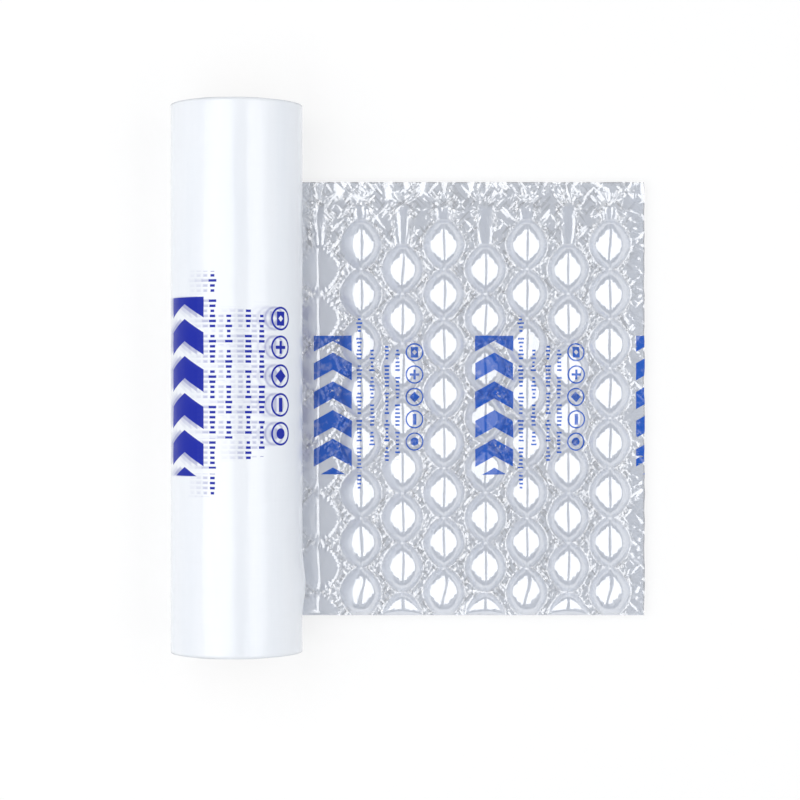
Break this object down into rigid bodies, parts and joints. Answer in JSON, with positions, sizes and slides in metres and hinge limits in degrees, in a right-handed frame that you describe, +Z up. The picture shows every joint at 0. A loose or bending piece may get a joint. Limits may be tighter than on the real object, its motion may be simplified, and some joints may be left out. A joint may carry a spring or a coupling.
{
  "type": "air pillow film roll",
  "caption": "Roll of film on a paper core, lying on its side, with a length of it drawn off and blown up into rows of air cells for wrapping goods.",
  "frame": {"origin": "middle of the core's bore, at half its length", "axes": "+Y along the core towards the film's open edge, +X the way the film is drawn off, +Z up from the table that the roll lies on"},
  "size_m": [0.3517, 0.402, 0.0961],
  "materials": {
    "paper_core": "matte",
    "clear_film": "satin"
  },
  "bodies": {
    "root": {"core_tube": "paper_core", "bubble_film": "clear_film"}
  },
  "joints": []
}
